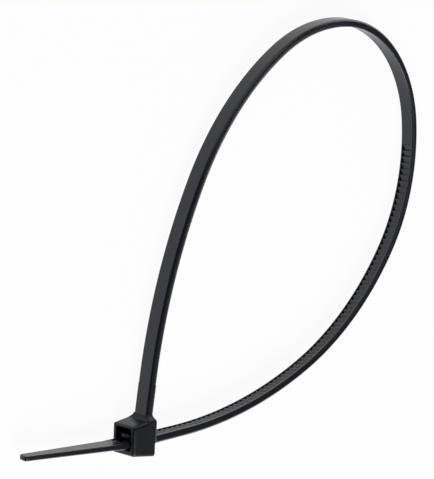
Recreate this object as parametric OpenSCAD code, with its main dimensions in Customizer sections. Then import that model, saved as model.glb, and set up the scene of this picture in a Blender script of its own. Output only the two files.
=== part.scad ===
// Cable tie, moulded in one piece, closed into a loop and lying on its side.
// Head, strap, pawl and tail are one solid. Units are millimetres.
// The head is centred on the origin in plan and stands on z = 0.
// The strap leaves the head along +Y, loops over +X and returns along -X through the slot.

/* [Strap] */
// Width of the strap
strap_w = 2.5; // [2.4:0.05:2.6]
// Thickness of the strap
strap_t = 1.05; // [0.95:0.05:1.1]
// Drop of the shoulders beside the raised middle of the smooth outer face
shoulder_drop = 0.2; // [0.1:0.05:0.3]
// Length of the thicker neck next to the head
neck_len = 5.2; // [4:0.2:5.2]
// Extra thickness of the neck
neck_extra = 0.15; // [0.05:0.05:0.2]

/* [Loop] */
// Length of the straight run out of the head
root_run = 5.45; // [5.35:0.05:6]
// Lean of the strap toward the loop where it leaves the head, in degrees
root_lean = 7; // [5:0.5:9]
// Radius of the first arc after the neck
radius_1 = 87; // [83:0.5:91]
// Turn of the first arc, in degrees
turn_1 = 19; // [18:0.5:20]
// Radius of the second arc
radius_2 = 46; // [43:0.5:49]
// Turn of the second arc, in degrees
turn_2 = 30.5; // [29.5:0.5:31.5]
// Radius of the third arc
radius_3 = 27; // [26:0.5:28]
// Turn of the third arc, in degrees
turn_3 = 33.5; // [32.5:0.5:34.5]
// Radius of the tightest arc, opposite the head
radius_4 = 18; // [17:0.5:19]
// Turn of the tightest arc, in degrees
turn_4 = 82; // [81:0.5:83]
// Turn of the fifth arc, in degrees; its radius follows from closing the loop
turn_5 = 42; // [41:0.5:43]
// Radius of the sixth arc
radius_6 = 46; // [44:0.5:48]
// Turn of the sixth arc, in degrees
turn_6 = 32; // [31:0.5:33]
// Radius of the last arc, before the slot; its turn follows from the others
radius_7 = 68.5; // [64:0.5:72]
// Fall of the strap where it crosses the middle of the slot, in degrees
slot_tilt = 1.5; // [0.5:0.5:2.5]

/* [Teeth] */
// Distance between two teeth along the strap
tooth_pitch = 1; // [0.9:0.05:1.1]
// Depth of the grooves below the rails
tooth_depth = 0.32; // [0.24:0.02:0.36]
// Length of the flat crest of a tooth
tooth_land = 0.15; // [0.1:0.01:0.18]
// Length of the steep face of a tooth
tooth_rise = 0.11; // [0.08:0.01:0.14]
// Drop of the crests below the rails
crest_drop = 0.05; // [0.03:0.01:0.08]
// Width of the plain rail on each side of the teeth, and of the shoulder behind it
rail_w = 0.3; // [0.25:0.05:0.35]
// Distance along the strap from the head to the first tooth
plain_len = 103; // [96:1:110]

/* [Head] */
// Width of the head across the strap
head_w = 4.15; // [4:0.05:4.4]
// Depth of the head along the slot
head_d = 4.45; // [4.3:0.05:4.6]
// Height of the head in the middle of its depth
head_h = 4.5; // [4.4:0.1:4.7]
// Rise of the top of the head toward the loop, in degrees
top_lean = 4; // [3:0.5:5]
// Fall of the foot of the head toward the loop, in degrees
foot_lean = 8; // [6:0.5:9]
// Distance from the loop side of the head to the strap
root_inset = 0.45; // [0.4:0.05:0.5]
// Distance from the top of the head down to the middle of the slot
slot_drop = 2.7; // [2.65:0.05:2.8]
// Clearance around the strap in the slot
slot_gap = 0.2; // [0.18:0.02:0.22]
// Thickness of the wall over the pawl, in the middle of the depth
top_wall = 0.45; // [0.4:0.05:0.55]
// Depth by which the foot of the loop side is set back
foot_step = 0.35; // [0.25:0.05:0.45]
// Distance from the middle of the slot down to where the foot is set back
foot_drop = 0.15; // [0.1:0.05:0.3]
// Rounding of the edges that run across the head
edge_r = 0.4; // [0.3:0.05:0.45]
// Rounding of the edges that run along the slot
side_r = 0.45; // [0.35:0.05:0.55]
// Widening of the strap root on each side
flare_w = 0.75; // [0.6:0.05:0.8]
// Height of the widened root above the head
flare_h = 0.85; // [0.6:0.05:1]

/* [Pawl] */
// Length of the pawl cavity, from the slot exit
cavity_d = 2.9; // [2.8:0.1:3]
// Thickness of the pawl where it hinges on the head
hinge_t = 0.5; // [0.4:0.05:0.6]
// Height of the underside of the hinge over the tooth crests
hinge_rise = 0.3; // [0.2:0.05:0.35]
// Height of the free end of the pawl
pawl_end_h = 0.7; // [0.6:0.05:0.8]
// Slant on the underside of the free end
pawl_nose = 0.2; // [0.1:0.05:0.2]
// Distance of the free end of the pawl behind the slot exit
pawl_setback = 0.35; // [0.3:0.05:0.4]
// Number of teeth on the pawl
pawl_teeth = 2; // [1:1:2]
// Clearance between the pawl and the strap
pawl_gap = 0.11; // [0.09:0.01:0.13]

/* [Tail] */
// Length of the tail outside the head
tail_len = 17.5; // [14:0.5:21]
// Further rise of the tail after the slot, in degrees
tail_bend = 5; // [4:0.5:6]
// Radius of that bend
tail_bend_r = 30; // [28:1:32]
// Width of the tip
tip_w = 1.3; // [1.1:0.1:1.5]
// Thickness of the tip
tip_t = 0.7; // [0.6:0.05:0.8]
// Length of the tail before it narrows
tail_plain = 0.7; // [0.5:0.1:2]
// Length of the slanted corners of the tip
tip_cut = 0.35; // [0.25:0.05:0.45]

/* [Hidden] */
mid_z = head_w / 2;
root_x = head_d / 2 - root_inset - strap_t / 2;
root = [root_x, head_h / 2 + root_x * tan(top_lean)];
root_depth = 0.4;
seam = 0.02;
slot_mid = [0, head_h / 2 - slot_drop];
slot_floor = slot_mid[1] - strap_t / 2 - slot_gap;
slot_ceiling = slot_mid[1] + strap_t / 2 + slot_gap;
slot_w = strap_w + 2 * slot_gap;
cavity_end = cavity_d - head_d / 2;
channel_w = strap_w - 2 * rail_w;
pawl_w = channel_w - 2 * pawl_gap;
past = 1;
beyond = 0.1;
root_into = 0.2;
corner_steps = 6;
arc_angle = 2;

// The strap runs straight out of the head, through seven arcs, straight into the slot, then into the tail.
start_heading = 90 - root_lean;
slot_heading = -180 + slot_tilt;
tail_heading = slot_heading - tail_bend;
whole_turn = start_heading - slot_heading;
turn_7 = whole_turn - turn_1 - turn_2 - turn_3 - turn_4 - turn_5 - turn_6;

function ahead(h) = [cos(h), sin(h)];
function inward(h) = [sin(h), -cos(h)];
function cross_2(a, b) = a[0] * b[1] - a[1] * b[0];
function arc_run(r, turn) = [r, turn, r * turn * PI / 180];
function step_along(run, h) = run[0] == 0
    ? run[2] * ahead(h)
    : run[0] * (inward(h) - inward(h - run[1]));
function end_heading(list, h, i = 0) = i == len(list) ? h : end_heading(list, h - list[i][1], i + 1);
function total_step(list, h, i = 0) = i == len(list)
    ? [0, 0]
    : step_along(list[i], h) + total_step(list, h - list[i][1], i + 1);

// The loop closes in the middle of the slot. The radius of the fifth arc and the length of the
// last straight are the two values for which it does.
before_5 = [
    [0, 0, root_run],
    arc_run(radius_1, turn_1),
    arc_run(radius_2, turn_2),
    arc_run(radius_3, turn_3),
    arc_run(radius_4, turn_4)
];
after_5 = [arc_run(radius_6, turn_6), arc_run(radius_7, turn_7)];
heading_5 = end_heading(before_5, start_heading);
step_5 = inward(heading_5) - inward(heading_5 - turn_5);
to_close = slot_mid - root - total_step(before_5, start_heading)
    - total_step(after_5, heading_5 - turn_5);
radius_5 = cross_2(to_close, ahead(slot_heading)) / cross_2(step_5, ahead(slot_heading));
close_run = cross_2(step_5, to_close) / cross_2(step_5, ahead(slot_heading));

// Runs of the strap in order: radius, turn and length of each. Radius 0 is a straight.
runs = concat(
    before_5,
    [arc_run(radius_5, turn_5)],
    after_5,
    [[0, 0, close_run]],
    [arc_run(tail_bend_r, tail_bend)],
    [[0, 0, tail_len]]
);
last_run = len(runs) - 1;

function run_heading(i) = i == 0 ? start_heading : run_heading(i - 1) - runs[i - 1][1];
function run_start(i) = i == 0 ? root : run_start(i - 1) + step_along(runs[i - 1], run_heading(i - 1));
function run_from(i) = i == 0 ? 0 : run_from(i - 1) + runs[i - 1][2];
headings = [for (i = [0:last_run]) run_heading(i)];
starts = [for (i = [0:last_run]) run_start(i)];
froms = [for (i = [0:last_run]) run_from(i)];

// Point at a distance along the middle of the strap, moved toward the inside of the loop.
function run_at(s, i = last_run) = i == 0 || froms[i] <= s ? i : run_at(s, i - 1);
function on_run(d, run, h) = run[0] == 0
    ? d * ahead(h)
    : run[0] * (inward(h) - inward(h - d / run[2] * run[1]));
function heading_on(d, run, h) = h - d / run[2] * run[1];
function at(s, off, i) = starts[i] + on_run(s - froms[i], runs[i], headings[i])
    + off * inward(heading_on(s - froms[i], runs[i], headings[i]));
function beside(s, off) = at(s, off, run_at(s));

slot_from = froms[last_run - 1];
tail_from = froms[last_run];
tip_at = tail_from + tail_len;
// The teeth are counted from the free end of the pawl, so that it always stands in their grooves.
pawl_end_x = pawl_setback - head_d / 2;
pawl_end_s = slot_from - pawl_end_x;
teeth_from = pawl_end_s - tooth_pitch * floor((pawl_end_s - plain_len) / tooth_pitch);
tooth_count = ceil((slot_from + head_d / 2 + past - teeth_from) / tooth_pitch);
teeth_to = teeth_from + tooth_count * tooth_pitch;
crest = strap_t / 2 - crest_drop;
groove = strap_t / 2 - tooth_depth;

// Half the thickness of the strap at a distance along it; only the tail gets thinner.
function half_t(s) = s <= tail_from
    ? strap_t / 2
    : strap_t / 2 - (s - tail_from) / tail_len * (strap_t - tip_t) / 2;

// Distances along the strap between which its outline is straight.
function pieces(i) = max(1, ceil(runs[i][1] / arc_angle));
stops = [for (i = [0:last_run]) for (k = [0:pieces(i) - 1]) froms[i] + k / pieces(i) * runs[i][2]];
along = concat([-root_depth], [for (s = stops) if (s > 0) s], [tip_at]);
back = [for (i = [len(along) - 1:-1:0]) along[i]];

// Rounded corner of an outline, from one direction to another.
function corner(c, r, from, to) =
    [for (i = [0:corner_steps]) c + r * ahead(from + (to - from) * i / corner_steps)];

// Middle of the rounding under the sloping top and over the sloping foot of the head.
function top_at(x) = [x, head_h / 2 + x * tan(top_lean) - edge_r / cos(top_lean)];
function foot_at(x) = [x, -head_h / 2 - x * tan(foot_lean) + edge_r / cos(foot_lean)];

// Neck: the thicker stretch of the strap next to the head.
module neck() {
    half = (strap_t + neck_extra) / 2;
    width = strap_w + neck_extra;
    translate([0, 0, mid_z - width / 2])
        linear_extrude(height = width)
            polygon([
                beside(-root_depth, half),
                beside(-root_depth, -half),
                beside(neck_len, -half),
                beside(neck_len, half)
            ]);
}

// Middle of the strap: raised on the smooth side, toothed on the side toward the loop.
module strap_middle() {
    smooth = [for (s = along) beside(s, -half_t(s))];
    after = [for (s = back) if (s > teeth_to) beside(s, half_t(s))];
    teeth = [for (i = [tooth_count - 1:-1:0]) let (s = teeth_from + i * tooth_pitch) each [
        beside(s + tooth_pitch - tooth_rise, groove),
        beside(s + tooth_land, crest),
        beside(s, crest)
    ]];
    before = [for (s = back) if (s < teeth_from) beside(s, half_t(s))];
    translate([0, 0, mid_z - channel_w / 2])
        linear_extrude(height = channel_w)
            polygon(concat(
                smooth,
                after,
                [beside(teeth_to, half_t(teeth_to)), beside(teeth_to, crest)],
                teeth,
                [beside(teeth_from, half_t(teeth_from))],
                before
            ));
}

// Rail on one side of the teeth, with the lower shoulder on the smooth side.
module rail(z) {
    translate([0, 0, z])
        linear_extrude(height = rail_w)
            polygon(concat(
                [for (s = along) beside(s, shoulder_drop - half_t(s))],
                [for (s = back) beside(s, half_t(s))]
            ));
}

// What the tail loses in width on both sides, toward the tip.
module tail_sides() {
    p = starts[last_run];
    slope = (strap_w - tip_w) / 2 / (tail_len - tip_cut - tail_plain);
    for (side = [-1, 1]) {
        translate([p[0], p[1], mid_z])
            rotate([90, 0, tail_heading])
                translate([0, 0, -strap_t])
                    linear_extrude(height = 2 * strap_t)
                        polygon([
                            [tail_plain - past, side * (strap_w / 2 + slope * past)],
                            [tail_len - tip_cut, side * tip_w / 2],
                            [tail_len + beyond, side * (tip_w / 2 - tip_cut - beyond)],
                            [tail_len + past, side * (tip_w / 2 - tip_cut - beyond)],
                            [tail_len + past, side * (strap_w / 2 + past)],
                            [tail_plain - past, side * (strap_w / 2 + past)]
                        ]);
    }
}

module strap() {
    difference() {
        union() {
            strap_middle();
            rail(mid_z - strap_w / 2);
            rail(mid_z + strap_w / 2 - rail_w);
        }
        tail_sides();
    }
}

// Side view of the head, with a sloping top and foot.
module head_side() {
    far = head_d / 2 - edge_r;
    top_normal = 90 + top_lean;
    foot_normal = 270 - foot_lean;
    linear_extrude(height = head_w)
        polygon(concat(
            corner(top_at(far), edge_r, 0, top_normal),
            corner(top_at(-far), edge_r, top_normal, 180),
            corner(foot_at(-far), edge_r, 180, foot_normal),
            corner(foot_at(far), edge_r, foot_normal, 360)
        ));
}

// Bar with the two rounded edges along the top (up = 1) or along the foot (up = -1).
module edge_bar(lean, up) {
    flat = head_h / 2 * cos(lean) + seam;
    half = head_w / 2 + seam;
    upper = corner([flat - side_r, half - side_r], side_r, 0, 90);
    lower = corner([flat - side_r, side_r - half], side_r, 270, 360);
    rotate([0, 0, up * lean])
        translate([-head_d, 0, mid_z])
            rotate([90, 0, 90])
                linear_extrude(height = 2 * head_d)
                    polygon(concat(
                        [for (p = upper) [up * p[0], p[1]]],
                        [[-up * head_h, half], [-up * head_h, -half]],
                        [for (p = lower) [up * p[0], p[1]]]
                    ));
}

module head_block() {
    intersection() {
        head_side();
        edge_bar(top_lean, 1);
        edge_bar(foot_lean, -1);
    }
}

// Widened root of the strap on top of the head.
module root_flare() {
    translate([root[0] - strap_t / 2, 0, mid_z])
        rotate([90, 0, 90])
            linear_extrude(height = strap_t)
                polygon([
                    [root[1] - root_depth, strap_w / 2 + flare_w],
                    [root[1] - root_depth, -strap_w / 2 - flare_w],
                    [root[1], -strap_w / 2 - flare_w],
                    [root[1] + flare_h, -strap_w / 2],
                    [root[1] + flare_h, strap_w / 2],
                    [root[1], strap_w / 2 + flare_w]
                ]);
}

// Slot with the pawl cavity over it, open toward the exit.
module passage() {
    translate([0, 0, mid_z - slot_w / 2])
        linear_extrude(height = slot_w)
            polygon([
                [-head_d / 2 - past, slot_floor],
                [head_d / 2 + past, slot_floor],
                [head_d / 2 + past, slot_ceiling],
                [cavity_end, slot_ceiling],
                [cavity_end, head_h / 2 - top_wall],
                [-head_d / 2 - past, head_h / 2 - top_wall]
            ]);
}

// The foot is set back on the loop side, below the strap.
module foot_recess() {
    recess_top = slot_mid[1] - foot_drop;
    translate([head_d / 2 - foot_step, recess_top - head_h, -past])
        cube([foot_step + past, head_h, head_w + 2 * past]);
}

// Lever hinged over the slot entry; its teeth stand in the grooves of the strap.
module pawl() {
    from_s = pawl_end_s - pawl_teeth * tooth_pitch;
    lower = [for (i = [0:pawl_teeth - 1]) let (s = from_s + i * tooth_pitch) each [
        beside(s + tooth_land / 2, strap_t / 2 + pawl_gap),
        beside(s + tooth_pitch - tooth_rise - pawl_gap, groove + pawl_gap)
    ]];
    heel_y = beside(pawl_end_s, strap_t / 2 + pawl_gap)[1];
    hinge_y = slot_ceiling + pawl_gap + hinge_rise;
    translate([0, 0, mid_z - pawl_w / 2])
        linear_extrude(height = pawl_w)
            polygon(concat(
                [
                    [cavity_end + root_into, hinge_y + hinge_t],
                    [cavity_end + root_into, hinge_y],
                    [cavity_end - hinge_rise, hinge_y]
                ],
                lower,
                [
                    [pawl_end_x + pawl_nose, heel_y],
                    [pawl_end_x, heel_y + pawl_nose],
                    [pawl_end_x, heel_y + pawl_end_h],
                    [pawl_end_x + hinge_rise, heel_y + pawl_end_h]
                ]
            ));
}

module head() {
    difference() {
        union() {
            head_block();
            root_flare();
            neck();
        }
        passage();
        foot_recess();
    }
}

module cable_tie() {
    color([0.07, 0.075, 0.085]) {
        union() {
            head();
            pawl();
            strap();
        }
    }
}

cable_tie();
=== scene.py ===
"""Looks of the cable tie: one black nylon moulding, closed into a loop and lying on its side.

Lengths are in millimetres until mesh_object() turns them into metres. The strap is swept along the
same chain of arcs as the CAD part. The head is a smooth solid given by a distance function, so that
its edges are rounded as a moulding's are.
"""

import math

import bpy
import numpy as np
from mathutils import Matrix, Vector


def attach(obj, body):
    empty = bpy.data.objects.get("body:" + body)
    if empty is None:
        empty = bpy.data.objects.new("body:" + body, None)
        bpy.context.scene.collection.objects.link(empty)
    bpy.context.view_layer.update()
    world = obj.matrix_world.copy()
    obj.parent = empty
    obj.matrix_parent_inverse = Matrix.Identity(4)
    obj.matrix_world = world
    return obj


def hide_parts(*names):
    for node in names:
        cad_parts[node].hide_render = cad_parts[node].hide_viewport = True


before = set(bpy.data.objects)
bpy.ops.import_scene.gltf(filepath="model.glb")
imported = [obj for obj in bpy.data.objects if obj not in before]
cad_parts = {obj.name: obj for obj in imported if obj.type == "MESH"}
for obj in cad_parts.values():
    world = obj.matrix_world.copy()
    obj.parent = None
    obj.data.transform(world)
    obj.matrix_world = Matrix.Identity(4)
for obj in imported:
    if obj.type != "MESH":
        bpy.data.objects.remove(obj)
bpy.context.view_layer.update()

MM = 0.001

# Sizes of the CAD part.
STRAP_W = 2.5
STRAP_T = 1.05
RAIL_W = 0.3
NECK_LEN = 5.2
NECK_EXTRA = 0.15
ROOT_RUN = 5.45
ROOT_LEAN = 7.0
FIRST_ARCS = ((87.0, 19.0), (46.0, 30.5), (27.0, 33.5), (18.0, 82.0))
TURN_5 = 42.0
RADIUS_6, TURN_6 = 46.0, 32.0
RADIUS_7 = 68.5
SLOT_TILT = 1.5
TOOTH_PITCH = 1.0
TOOTH_DEPTH = 0.32
TOOTH_LAND = 0.15
TOOTH_RISE = 0.11
CREST_DROP = 0.05
PLAIN_LEN = 103.0
HEAD_W = 4.15
HEAD_D = 4.45
HEAD_H = 4.5
TOP_LEAN = 4.0
FOOT_LEAN = 8.0
ROOT_INSET = 0.45
SLOT_DROP = 2.7
SLOT_GAP = 0.2
TOP_WALL = 0.45
FOOT_STEP = 0.35
FOOT_DROP = 0.15
FLARE_W = 0.75
FLARE_H = 0.85
CAVITY_D = 2.9
HINGE_T = 0.5
HINGE_RISE = 0.3
PAWL_END_H = 0.7
PAWL_NOSE = 0.2
PAWL_SETBACK = 0.35
PAWL_TEETH = 2
PAWL_GAP = 0.11
TAIL_LEN = 17.5
TAIL_BEND = 5.0
TAIL_BEND_R = 30.0
TAIL_PLAIN = 0.7
TIP_W = 1.3
TIP_CUT = 0.35

# What only the looks have, of the strap: bevels for the shoulders of the smooth face, a slight
# twist, a thinner tail, and surfaces that bulge a little beyond the CAD part's flats.
BEVEL = 0.27
BEVEL_SOFT = 0.06
RAIL_ROUND = 0.14
RAIL_LIP = 0.025
PLAIN_DROP = 0.003
TWIST = -8.0
TAIL_TWIST, TAIL_TWIST_FROM, TAIL_TWIST_OVER = 4.0, 2.0, 2.5
TAIL_THIN, TAIL_THIN_FROM, TAIL_THIN_OVER = 0.76, 0.6, 1.8
TIP_THIN = 0.6
TIP_SQUEEZE = 0.72
SWELL = 0.03
SIDE_CROWN = 0.02

# Of the head: a steeper and higher top, rounder edges, and soft inner corners.
HEAD_SWELL = 0.07
HEAD_RISE = 0.31
HEAD_LEAN = 8.0
FOOT_RISE = 0.03
CAVITY_RISE = 0.09
ROUND_NEAR, ROUND_FAR = 0.52, 0.26
ROOT_RISE, ROOT_ROUND, ROOT_BLEND = 0.18, 0.16, 0.4
SLOT_ROUND, SLOT_BLEND = 0.06, 0.12
FOOT_ROUND, FOOT_BLEND = 0.08, 0.16
PAWL_ROUND, PAWL_BLEND = 0.05, 0.06

# Spacing of the meshes' points.
PLAIN_SPACING = 0.6
HEAD_STEP, HEAD_STEP_QUICK = 0.046, 0.085
STRAP_SHARP, HEAD_SHARP = 38, 55

# Materials and light.
NYLON_COLOR = (0.0052, 0.0068, 0.0098, 1)
NYLON_TINT = (0.88, 0.92, 1, 1)
NYLON_IOR = 1.53
GLOSS_SPREAD = 0.06
FLOOR_COLOR = (0.85, 0.85, 0.85, 1)
FLOOR_WHITE = 0.94
WORLD_STRENGTH = 0.055
LOOP_MIDDLE = (0.03, 0.03, 0.0)
# Name, azimuth, height, distance in metres, size in metres, power in watts.
LAMPS = (
    ("panel_right", -15, 10, 0.9, (0.95, 0.35), 2.3),
    ("panel_far", 45, 8, 0.9, (0.95, 0.35), 2.0),
    ("panel_behind", 95, 32, 0.9, (0.8, 0.6), 1.4),
    ("panel_top", -15, 72, 0.9, (0.6, 0.5), 0.4),
    ("key", -95, 42, 0.8, (0.6, 0.6), 8),
)

# The photograph's viewpoint, in millimetres and pixels.
FOCAL_PX, PHOTO_H, SENSOR = 1600, 479, 36
CAMERA_PLACE = (-149.596, 56.667, 155.621)
CAMERA_RIGHT = (0.68622, 0.04209, 0.72618)
CAMERA_FORWARD = (0.72423, -0.13263, -0.67668)

MID_Z = HEAD_W / 2
CHANNEL_W = STRAP_W - 2 * RAIL_W
CAVITY_END = CAVITY_D - HEAD_D / 2
SLOT_Y = HEAD_H / 2 - SLOT_DROP
SLOT_FLOOR = SLOT_Y - STRAP_T / 2 - SLOT_GAP
SLOT_CEILING = SLOT_Y + STRAP_T / 2 + SLOT_GAP
GROOVE = STRAP_T / 2 - TOOTH_DEPTH
CREST = STRAP_T / 2 - CREST_DROP
PLAIN_FACE = STRAP_T / 2 + SWELL - PLAIN_DROP


# ---- centreline


def ahead(heading):
    return np.array([math.cos(heading), math.sin(heading)])


def inward(heading):
    return np.array([math.sin(heading), -math.cos(heading)])


def cross_2(a, b):
    return a[0] * b[1] - a[1] * b[0]


def arc(radius, turn):
    """A run is (radius, turn, length); radius 0 is a straight."""
    return (radius, math.radians(turn), radius * math.radians(turn))


def step_along(run, heading):
    radius, turn, length = run
    if radius == 0:
        return length * ahead(heading)
    return radius * (inward(heading) - inward(heading - turn))


def total_step(runs, heading):
    step = np.zeros(2)
    for run in runs:
        step = step + step_along(run, heading)
        heading -= run[1]
    return step


def strap_runs():
    """The runs of the strap from the head to the tip, the root point and the first heading."""
    root_x = HEAD_D / 2 - ROOT_INSET - STRAP_T / 2
    root = np.array([root_x, HEAD_H / 2 + root_x * math.tan(math.radians(TOP_LEAN))])
    start = math.radians(90 - ROOT_LEAN)
    slot = math.radians(-180 + SLOT_TILT)
    before = [(0, 0, ROOT_RUN)] + [arc(radius, turn) for radius, turn in FIRST_ARCS]
    heading_5 = start - sum(run[1] for run in before)
    turn_5 = math.radians(TURN_5)
    turn_7 = math.degrees(heading_5 - turn_5 - slot) - TURN_6
    after = [arc(RADIUS_6, TURN_6), arc(RADIUS_7, turn_7)]
    gap = np.array([0, SLOT_Y]) - root - total_step(before, start)
    gap = gap - total_step(after, heading_5 - turn_5)
    step_5 = inward(heading_5) - inward(heading_5 - turn_5)
    radius_5 = cross_2(gap, ahead(slot)) / cross_2(step_5, ahead(slot))
    close_run = cross_2(step_5, gap) / cross_2(step_5, ahead(slot))
    last = [(0, 0, close_run), arc(TAIL_BEND_R, TAIL_BEND), (0, 0, TAIL_LEN)]
    return before + [arc(radius_5, TURN_5)] + after + last, root, start


RUNS, ROOT, START = strap_runs()
FROMS = np.concatenate([[0], np.cumsum([run[2] for run in RUNS])])
SLOT_S, TAIL_S, TIP_S = FROMS[-3:]


def centreline(distances):
    """Points and headings at these distances along the middle of the strap."""
    distances = np.asarray(distances, float)
    points = np.zeros((len(distances), 2))
    headings = np.zeros(len(distances))
    place, heading = ROOT.copy(), START
    for number, run in enumerate(RUNS):
        here = (distances >= FROMS[number]) | (number == 0)
        along = distances[here] - FROMS[number]
        if run[0] == 0:
            points[here] = place + along[:, None] * ahead(heading)
            headings[here] = heading
        else:
            turned = heading - along / run[0]
            sides = np.stack([np.sin(turned), -np.cos(turned)], 1)
            points[here] = place + run[0] * (inward(heading) - sides)
            headings[here] = turned
        place = place + step_along(run, heading)
        heading -= run[1]
    return points, headings


def beside(distance, off):
    """The point at a distance along the strap, moved toward the inside of the loop."""
    points, headings = centreline([distance])
    return points[0] + off * inward(headings[0])


# ---- swept pieces


def mesh_object(name, vertices, faces, smooth_angle):
    """A mesh from millimetres, smooth except along edges sharper than the angle."""
    mesh = bpy.data.meshes.new(name)
    mesh.from_pydata([tuple(v) for v in np.asarray(vertices) * MM], [], [tuple(f) for f in faces])
    mesh.validate()
    mesh.polygons.foreach_set("use_smooth", [True] * len(mesh.polygons))
    mesh.set_sharp_from_angle(angle=math.radians(smooth_angle))
    mesh.update()
    piece = bpy.data.objects.new(name, mesh)
    bpy.context.scene.collection.objects.link(piece)
    return piece


def rounding(off, z, radius, start, end, count):
    """Points on a round from one angle to another, as (off, z)."""
    angles = np.radians(np.linspace(start, end, count))
    return [(off + radius * math.cos(a), z + radius * math.sin(a)) for a in angles]


def strap_section(floor):
    """The strap's outline across, as (off, z). off is negative toward the smooth outer face, which
    has bevelled corners; floor is the off of the bottom between the rails of the toothed face."""
    back, front = -STRAP_T / 2 - SWELL, STRAP_T / 2 + SWELL
    rim, edge = CHANNEL_W / 2, STRAP_W / 2 + SWELL + SIDE_CROWN
    half = [(back, 0), (back + 0.002, 0.35), (back + 0.006, 0.7)]
    half += rounding(back + BEVEL_SOFT, edge - BEVEL - 0.025, BEVEL_SOFT, 176, 135, 3)
    half += rounding(back + BEVEL + 0.015, edge - BEVEL_SOFT - 0.008, BEVEL_SOFT, 135, 100, 3)
    half += [(-0.1, edge), (0.06, edge - 0.008), (0.2, edge - 0.024)]
    half += rounding(front - RAIL_ROUND, edge - 0.175, RAIL_ROUND, 74, 0, 6)
    lip = min(RAIL_LIP, front - floor)
    half += rounding(front - lip, rim + lip, lip, 0, -90, 3)
    half += [(floor, rim - 0.005), (floor, 0.62), (floor, 0.3), (floor, 0)]
    mirrored = [(off, -z) for off, z in half[-2:0:-1]]
    return np.array(half + mirrored)


def eased(value):
    """From 0 to 1 with a soft start and end."""
    share = np.clip(value, 0, 1)
    return share * share * (3 - 2 * share)


def twist_at(distances):
    """How far the strap is turned about its own run, in radians."""
    distances = np.asarray(distances)
    loop = TWIST * np.sin(math.pi * np.clip(distances / SLOT_S, 0, 1))
    tail = TAIL_TWIST * eased((distances - SLOT_S - TAIL_TWIST_FROM) / TAIL_TWIST_OVER)
    return np.radians(loop + tail)


def swept(name, distances, sections):
    """Joins one section (off, z) for each distance along the strap into a closed mesh."""
    points, headings = centreline(distances)
    sides = np.stack([np.sin(headings), -np.cos(headings)], 1)
    twist = twist_at(distances)[:, None]
    off, z = sections[..., 0], sections[..., 1]
    turned_off = off * np.cos(twist) - z * np.sin(twist)
    turned_z = off * np.sin(twist) + z * np.cos(twist)
    flat = points[:, None] + turned_off[..., None] * sides[:, None]
    vertices = np.concatenate([flat, MID_Z + turned_z[..., None]], 2).reshape(-1, 3)
    rings, count = sections.shape[:2]
    faces = []
    for ring in range(rings - 1):
        a, b = ring * count, (ring + 1) * count
        for k in range(count):
            n = (k + 1) % count
            faces.append((a + k, a + n, b + n, b + k))
    faces.append(tuple(range(count - 1, -1, -1)))
    faces.append(tuple(range((rings - 1) * count, rings * count)))
    return mesh_object(name, vertices, faces, STRAP_SHARP)


def tooth_stations():
    """Distances along the strap, and the off of the toothed face there."""
    pawl_end = SLOT_S - (PAWL_SETBACK - HEAD_D / 2)
    first = pawl_end - TOOTH_PITCH * math.floor((pawl_end - PLAIN_LEN) / TOOTH_PITCH)
    last = first + TOOTH_PITCH * math.ceil((SLOT_S + HEAD_D / 2 + 1 - first) / TOOTH_PITCH)
    slope = TOOTH_PITCH - TOOTH_RISE - TOOTH_LAND
    fall = CREST - GROOVE
    stations = [(s, PLAIN_FACE) for s in np.arange(-0.4, first - 0.4, PLAIN_SPACING)]
    stations += [(first - 0.02, PLAIN_FACE)]
    for number in range(round((last - first) / TOOTH_PITCH)):
        start = first + number * TOOTH_PITCH
        low = start + TOOTH_PITCH - TOOTH_RISE
        stations += [
            (start, CREST - 0.02),
            (start + 0.03, CREST),
            (start + TOOTH_LAND - 0.02, CREST),
            (start + TOOTH_LAND + 0.03, CREST - 0.03 * fall / slope),
            (start + TOOTH_LAND + slope * 0.5, CREST - fall * 0.5),
            (low - 0.04, GROOVE + 0.045 * fall / slope),
            (low, GROOVE + 0.01),
            (low + 0.03, GROOVE + 0.05),
            (start + TOOTH_PITCH - 0.02, CREST - 0.06),
        ]
    stations += [(last + 0.02, PLAIN_FACE)]
    rest = np.arange(last + 0.4, TIP_S - TIP_CUT - 0.3, PLAIN_SPACING)
    stations += [(s, PLAIN_FACE) for s in rest]
    return stations


def tail_scale(distance):
    """Width and thickness there as shares of the strap's, less along the tail."""
    run = max(distance - TAIL_S, 0)
    thick = 1 - (1 - TAIL_THIN) * eased((run - TAIL_THIN_FROM) / TAIL_THIN_OVER)
    thick = thick - run / TAIL_LEN * (TAIL_THIN - TIP_THIN)
    share = max(run - TAIL_PLAIN, 0) / (TAIL_LEN - TAIL_PLAIN - TIP_CUT)
    return 1 - min(share, 1) * (1 - TIP_W / STRAP_W), thick


def strap_piece():
    """The whole strap, from inside the head's root to the rounded tip."""
    distances, sections = [], []
    for distance, floor in tooth_stations():
        wide, thick = tail_scale(distance)
        distances.append(distance)
        sections.append(strap_section(floor) * (thick, wide))
    tip = strap_section(PLAIN_FACE)
    for angle in np.radians([0, 15, 30, 45, 60, 75, 88]):
        wide, thick = tail_scale(TIP_S - TIP_CUT)
        wide -= 2 * TIP_CUT * (1 - math.cos(angle)) / STRAP_W
        thick *= TIP_SQUEEZE + (1 - TIP_SQUEEZE) * math.cos(angle)
        distances.append(TIP_S - TIP_CUT * (1 - math.sin(angle)))
        sections.append(tip * (thick, wide))
    return swept("tie_strap", distances, np.array(sections))


def neck_piece():
    """The thicker stretch of the strap next to the head, with a soft step at its end."""
    grown = ((STRAP_T + NECK_EXTRA / 2) / STRAP_T, (STRAP_W + NECK_EXTRA / 2) / STRAP_W)
    base = strap_section(STRAP_T / 2) * grown
    distances = list(np.linspace(-0.35, NECK_LEN - 0.12, 12)) + [NECK_LEN - 0.04, NECK_LEN]
    shrink = [1.0] * 12 + [0.98, 0.93]
    return swept("tie_neck", distances, np.array([base * s for s in shrink]))


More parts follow.
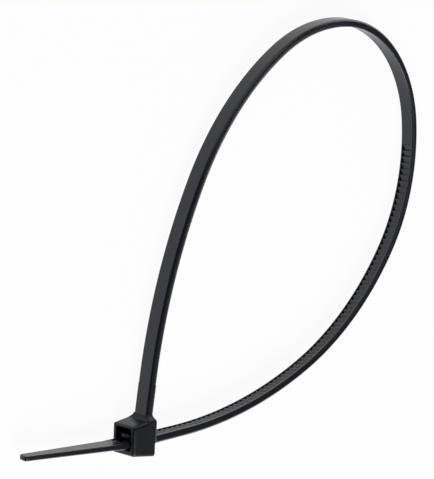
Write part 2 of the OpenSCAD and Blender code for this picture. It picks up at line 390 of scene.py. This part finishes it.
# ---- solids given by a distance


def polygon_distance(x, y, corners):
    """Signed distance in the plane to a closed outline, negative inside."""
    corners = np.asarray(corners, float)
    best = np.full(x.shape, 1e9)
    inside = np.zeros(x.shape, bool)
    for (ax, ay), (bx, by) in zip(corners, np.roll(corners, -1, axis=0)):
        ex, ey = bx - ax, by - ay
        px, py = x - ax, y - ay
        t = np.clip((px * ex + py * ey) / (ex * ex + ey * ey), 0, 1)
        best = np.minimum(best, (px - t * ex) ** 2 + (py - t * ey) ** 2)
        if ay != by:
            inside ^= ((ay > y) != (by > y)) & (x < (bx - ax) * (y - ay) / (by - ay) + ax)
    best = np.sqrt(best)
    return np.where(inside, -best, best)


def rounded_both(a, b, radius):
    """Inside both distances, with a round of this radius along the edge where they meet."""
    a, b = a + radius, b + radius
    return np.hypot(np.maximum(a, 0), np.maximum(b, 0)) + np.minimum(np.maximum(a, b), 0) - radius


def within(value, low, high):
    """Signed distance to a slab between two levels."""
    return np.abs(value - (low + high) / 2) - (high - low) / 2


def blend_min(a, b, soft):
    """Either solid, with a soft inner corner where they meet."""
    h = np.maximum(soft - np.abs(a - b), 0) / soft
    return np.minimum(a, b) - h * h * soft / 4


def blend_max(a, b, soft):
    """Both solids at once, with a soft edge where they meet."""
    return -blend_min(-a, -b, soft)


def head_side(radius):
    """The head's outline from the side, smaller all round by the radius."""
    half = HEAD_D / 2 + HEAD_SWELL - radius
    top, foot = math.radians(HEAD_LEAN), math.radians(FOOT_LEAN)

    def top_y(x):
        return HEAD_H / 2 + HEAD_RISE + x * math.tan(top) - radius / math.cos(top)

    def foot_y(x):
        return FOOT_RISE - HEAD_H / 2 - x * math.tan(foot) + radius / math.cos(foot)

    return [
        (-half, foot_y(-half)),
        (half, foot_y(half)),
        (half, top_y(half)),
        (-half, top_y(-half)),
    ]


def pawl_outline():
    """The pawl from the side: its hinge, the teeth in the strap's grooves, and its free end."""
    end_x = PAWL_SETBACK - HEAD_D / 2
    end_s = SLOT_S - end_x
    half = STRAP_T / 2
    hinge_y = SLOT_CEILING + PAWL_GAP + HINGE_RISE
    points = [
        (CAVITY_END + 0.2, hinge_y + HINGE_T),
        (CAVITY_END + 0.2, hinge_y),
        (CAVITY_END - HINGE_RISE, hinge_y),
    ]
    for tooth in range(PAWL_TEETH):
        s = end_s - (PAWL_TEETH - tooth) * TOOTH_PITCH
        points.append(beside(s + TOOTH_LAND / 2, half + PAWL_GAP))
        points.append(beside(s + TOOTH_PITCH - TOOTH_RISE - PAWL_GAP, GROOVE + PAWL_GAP))
    heel = beside(end_s, half + PAWL_GAP)[1]
    points += [
        (end_x + PAWL_NOSE, heel),
        (end_x, heel + PAWL_NOSE),
        (end_x, heel + PAWL_END_H),
        (end_x + HINGE_RISE, heel + PAWL_END_H),
    ]
    return points


def root_flare(x, y, z):
    """The strap's root, which widens toward the head."""
    half_w, top = STRAP_W / 2 + SWELL, ROOT[1] + ROOT_RISE
    half = [
        (half_w + FLARE_W, top - 0.6),
        (half_w + FLARE_W, top - 0.25),
        (half_w + FLARE_W * 0.85, top + FLARE_H * 0.05),
        (half_w + FLARE_W * 0.5, top + FLARE_H * 0.42),
        (half_w - 0.02, top + FLARE_H),
    ]
    outline = half + [(-side, level) for side, level in half[::-1]]
    lean = (y - top) * math.tan(math.radians(ROOT_LEAN))
    half_t = STRAP_T / 2 + SWELL + NECK_EXTRA / 2
    through = within(x - lean, ROOT[0] - half_t, ROOT[0] + half_t)
    return rounded_both(polygon_distance(z - MID_Z, y, outline), through, ROOT_ROUND)


def slot_passage(x, y, z):
    """The slot right through the head, and the pawl's cavity over it, open at the exit."""
    cavity_top = HEAD_H / 2 + CAVITY_RISE - TOP_WALL
    outline = [
        (-HEAD_D, SLOT_FLOOR),
        (HEAD_D, SLOT_FLOOR),
        (HEAD_D, SLOT_CEILING),
        (CAVITY_END, SLOT_CEILING),
        (CAVITY_END, cavity_top),
        (-HEAD_D, cavity_top),
    ]
    half_w = STRAP_W / 2 + SLOT_GAP
    across = within(z, MID_Z - half_w, MID_Z + half_w)
    return rounded_both(polygon_distance(x, y, outline), across, SLOT_ROUND)


def head_distance(p):
    """Signed distance to the head at points (x, y, z), negative inside."""
    x, y, z = p[:, 0], p[:, 1], p[:, 2]
    near = eased(z / HEAD_W)
    block = (polygon_distance(x, y, head_side(ROUND_NEAR)) - ROUND_NEAR) * near
    block = block + (polygon_distance(x, y, head_side(ROUND_FAR)) - ROUND_FAR) * (1 - near)
    sides = within(z, 0, HEAD_W + SWELL)
    solid = rounded_both(block, sides, np.where(z > MID_Z, ROUND_NEAR, ROUND_FAR))
    solid = np.maximum(blend_min(solid, root_flare(x, y, z), ROOT_BLEND), sides)
    solid = blend_max(solid, -slot_passage(x, y, z), SLOT_BLEND)
    # The loop side is set back under the slot.
    foot = rounded_both(HEAD_D / 2 - FOOT_STEP - x, y - SLOT_Y + FOOT_DROP, FOOT_ROUND)
    solid = blend_max(solid, -foot, FOOT_BLEND)
    pawl_w = (CHANNEL_W - 2 * PAWL_GAP) / 2
    across = within(z, MID_Z - pawl_w, MID_Z + pawl_w)
    pawl = rounded_both(polygon_distance(x, y, pawl_outline()), across, PAWL_ROUND)
    return blend_min(solid, pawl, PAWL_BLEND)


def surface_of(distance, low, high, step):
    """A closed quad mesh of where the distance is zero, by surface nets, then pulled onto it."""
    axes = [np.arange(a, b + step, step) for a, b in zip(low, high)]
    grid = np.stack(np.meshgrid(*axes, indexing="ij"), -1)
    value = distance(grid.reshape(-1, 3)).reshape(grid.shape[:3])
    cells = tuple(n - 1 for n in value.shape)
    corner = {}
    for key in np.ndindex(2, 2, 2):
        corner[key] = value[tuple(slice(k, k + n) for k, n in zip(key, cells))]
    inside = sum((c < 0).astype(int) for c in corner.values())
    mixed = (inside > 0) & (inside < 8)
    index = np.full(cells, -1)
    index[mixed] = np.arange(mixed.sum())
    total = np.zeros(cells + (3,))
    count = np.zeros(cells)
    for axis in range(3):
        for key in corner:
            if key[axis]:
                continue
            other = tuple(1 if m == axis else k for m, k in enumerate(key))
            a, b = corner[key], corner[other]
            crossing = (a < 0) != (b < 0)
            t = np.where(crossing, a / np.where(crossing, a - b, 1), 0)
            for m in range(3):
                total[..., m] += np.where(crossing, key[m] + (t if m == axis else 0), 0)
            count += crossing
    vertices = np.array(low) + (np.argwhere(mixed) + total[mixed] / count[mixed][:, None]) * step
    faces = []
    for axis in range(3):
        others = ((axis + 1) % 3, (axis + 2) % 3)
        first = np.take(value, range(cells[axis]), axis)
        second = np.take(value, range(1, cells[axis] + 1), axis)
        for leaving in (True, False):
            hits = np.argwhere(((first < 0) != (second < 0)) & ((first < 0) == leaving))
            for other in others:
                hits = hits[(hits[:, other] > 0) & (hits[:, other] < cells[other])]
            quad = []
            for back in ((1, 1), (0, 1), (0, 0), (1, 0)):
                cell = hits.copy()
                cell[:, others[0]] -= back[0]
                cell[:, others[1]] -= back[1]
                quad.append(index[tuple(cell.T)])
            quad = np.stack(quad, 1)
            faces.append(quad if leaving else quad[:, ::-1])
    nudge = step * 0.2
    for _ in range(3):
        slope = np.zeros_like(vertices)
        for m in range(3):
            move = nudge * np.eye(3)[m]
            slope[:, m] = (distance(vertices + move) - distance(vertices - move)) / (2 * nudge)
        reach = distance(vertices) / np.maximum((slope**2).sum(1), 0.25)
        reach = np.clip(reach, -step / 2, step / 2)
        vertices = vertices - reach[:, None] * slope
    return vertices, np.concatenate(faces)


def head_piece():
    low = (-HEAD_D / 2 - 0.1, -HEAD_H / 2 - 0.45, -0.1)
    high = (HEAD_D / 2 + 0.1, HEAD_H / 2 + FLARE_H + 0.3, HEAD_W + 0.1)
    step = HEAD_STEP
    vertices, faces = surface_of(head_distance, low, high, step)
    return mesh_object("tie_head", vertices, faces, HEAD_SHARP)


# ---- materials


def new_material(name):
    material = bpy.data.materials.new(name)
    material.use_nodes = True
    nodes, links = material.node_tree.nodes, material.node_tree.links
    return material, nodes, links, nodes["Principled BSDF"]


def noise(nodes, links, place, scale, detail):
    node = nodes.new("ShaderNodeTexNoise")
    node.inputs["Scale"].default_value = scale
    node.inputs["Detail"].default_value = detail
    links.new(place.outputs["Object"], node.inputs["Vector"])
    return node.outputs["Fac"]


def nylon(name, roughness, grain, shine):
    """Black moulded nylon with a faint grain and slightly uneven gloss."""
    material, nodes, links, shader = new_material(name)
    shader.inputs["Base Color"].default_value = NYLON_COLOR
    shader.inputs["IOR"].default_value = NYLON_IOR
    shader.inputs["Specular IOR Level"].default_value = shine
    shader.inputs["Specular Tint"].default_value = NYLON_TINT
    place = nodes.new("ShaderNodeTexCoord")
    gloss = nodes.new("ShaderNodeMapRange")
    gloss.inputs["To Min"].default_value = roughness - GLOSS_SPREAD
    gloss.inputs["To Max"].default_value = roughness + GLOSS_SPREAD
    links.new(noise(nodes, links, place, 300, 3), gloss.inputs["Value"])
    links.new(gloss.outputs["Result"], shader.inputs["Roughness"])
    bump = nodes.new("ShaderNodeBump")
    bump.inputs["Strength"].default_value = grain
    bump.inputs["Distance"].default_value = 0.0001
    links.new(noise(nodes, links, place, 2600, 4), bump.inputs["Height"])
    links.new(bump.outputs["Normal"], shader.inputs["Normal"])
    return material


def calculated(nodes, links, operation, first, second):
    """A Math node on two sockets or numbers."""
    node = nodes.new("ShaderNodeMath")
    node.operation = operation
    for socket, value in zip(node.inputs, (first, second)):
        if isinstance(value, (int, float)):
            socket.default_value = value
        else:
            links.new(value, socket)
    return node.outputs[0]


def floor_material():
    """Plain floor, white to the camera and in reflections, with a faint shadow of the object."""
    material, nodes, links, shader = new_material("white_floor")
    shader.inputs["Base Color"].default_value = FLOOR_COLOR
    shader.inputs["Roughness"].default_value = 0.9
    shader.inputs["Specular IOR Level"].default_value = 0.1
    path = nodes.new("ShaderNodeLightPath")
    seen = path.outputs["Is Camera Ray"]
    for kind in ("Is Glossy Ray", "Is Transmission Ray"):
        seen = calculated(nodes, links, "MAXIMUM", seen, path.outputs[kind])
    share = calculated(nodes, links, "MULTIPLY", seen, FLOOR_WHITE)
    white = nodes.new("ShaderNodeEmission")
    mix = nodes.new("ShaderNodeMixShader")
    links.new(share, mix.inputs[0])
    links.new(shader.outputs[0], mix.inputs[1])
    links.new(white.outputs[0], mix.inputs[2])
    links.new(mix.outputs[0], nodes["Material Output"].inputs["Surface"])
    return material


# ---- the object

strap = strap_piece()
neck = neck_piece()
head = head_piece()
strap_nylon = nylon("strap_nylon", 0.26, 0.03, 0.5)
head_nylon = nylon("head_nylon", 0.37, 0.1, 0.3)
for piece, material in ((strap, strap_nylon), (neck, strap_nylon), (head, head_nylon)):
    piece.data.materials.append(material)
    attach(piece, "root")
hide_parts("cable_tie")

# ---- stage


def floor():
    size = 3.0
    corners = [(-size, -size, 0), (size, -size, 0), (size, size, 0), (-size, size, 0)]
    mesh = bpy.data.meshes.new("floor")
    mesh.from_pydata(corners, [], [(0, 1, 2, 3)])
    plane = bpy.data.objects.new("floor", mesh)
    bpy.context.scene.collection.objects.link(plane)
    plane.data.materials.append(floor_material())


def area_lamp(name, azimuth, height, distance, size, power):
    """A soft lamp aimed at the loop. Azimuth 0 is +X and 90 is +Y; height is in degrees."""
    target = Vector(LOOP_MIDDLE)
    turn, lift = math.radians(azimuth), math.radians(height)
    flat = math.cos(lift)
    aim = Vector((math.cos(turn) * flat, math.sin(turn) * flat, math.sin(lift)))
    lamp = bpy.data.lights.new(name, "AREA")
    lamp.shape = "RECTANGLE"
    lamp.size, lamp.size_y = size
    lamp.energy = power
    holder = bpy.data.objects.new(name, lamp)
    holder.location = target + aim * distance
    holder.rotation_euler = (-aim).to_track_quat("-Z", "Y").to_euler()
    bpy.context.scene.collection.objects.link(holder)


def world_light():
    world = bpy.data.worlds.new("studio")
    bpy.context.scene.world = world
    world.use_nodes = True
    background = world.node_tree.nodes["Background"]
    background.inputs["Color"].default_value = (1, 1, 1, 1)
    background.inputs["Strength"].default_value = WORLD_STRENGTH


def camera():
    """The photograph's viewpoint."""
    data = bpy.data.cameras.new("camera")
    data.sensor_width = SENSOR
    data.lens = FOCAL_PX * SENSOR / PHOTO_H
    data.clip_start = 0.01
    holder = bpy.data.objects.new("camera", data)
    right = Vector(CAMERA_RIGHT).normalized()
    forward = Vector(CAMERA_FORWARD).normalized()
    up = right.cross(forward)
    turn = Matrix((right, up, -forward)).transposed().to_4x4()
    holder.matrix_world = Matrix.Translation(Vector(CAMERA_PLACE) * MM) @ turn
    bpy.context.scene.collection.objects.link(holder)
    bpy.context.scene.camera = holder


floor()
world_light()
for lamp_row in LAMPS:
    area_lamp(*lamp_row)
camera()

bpy.context.scene.view_settings.view_transform = "Standard"
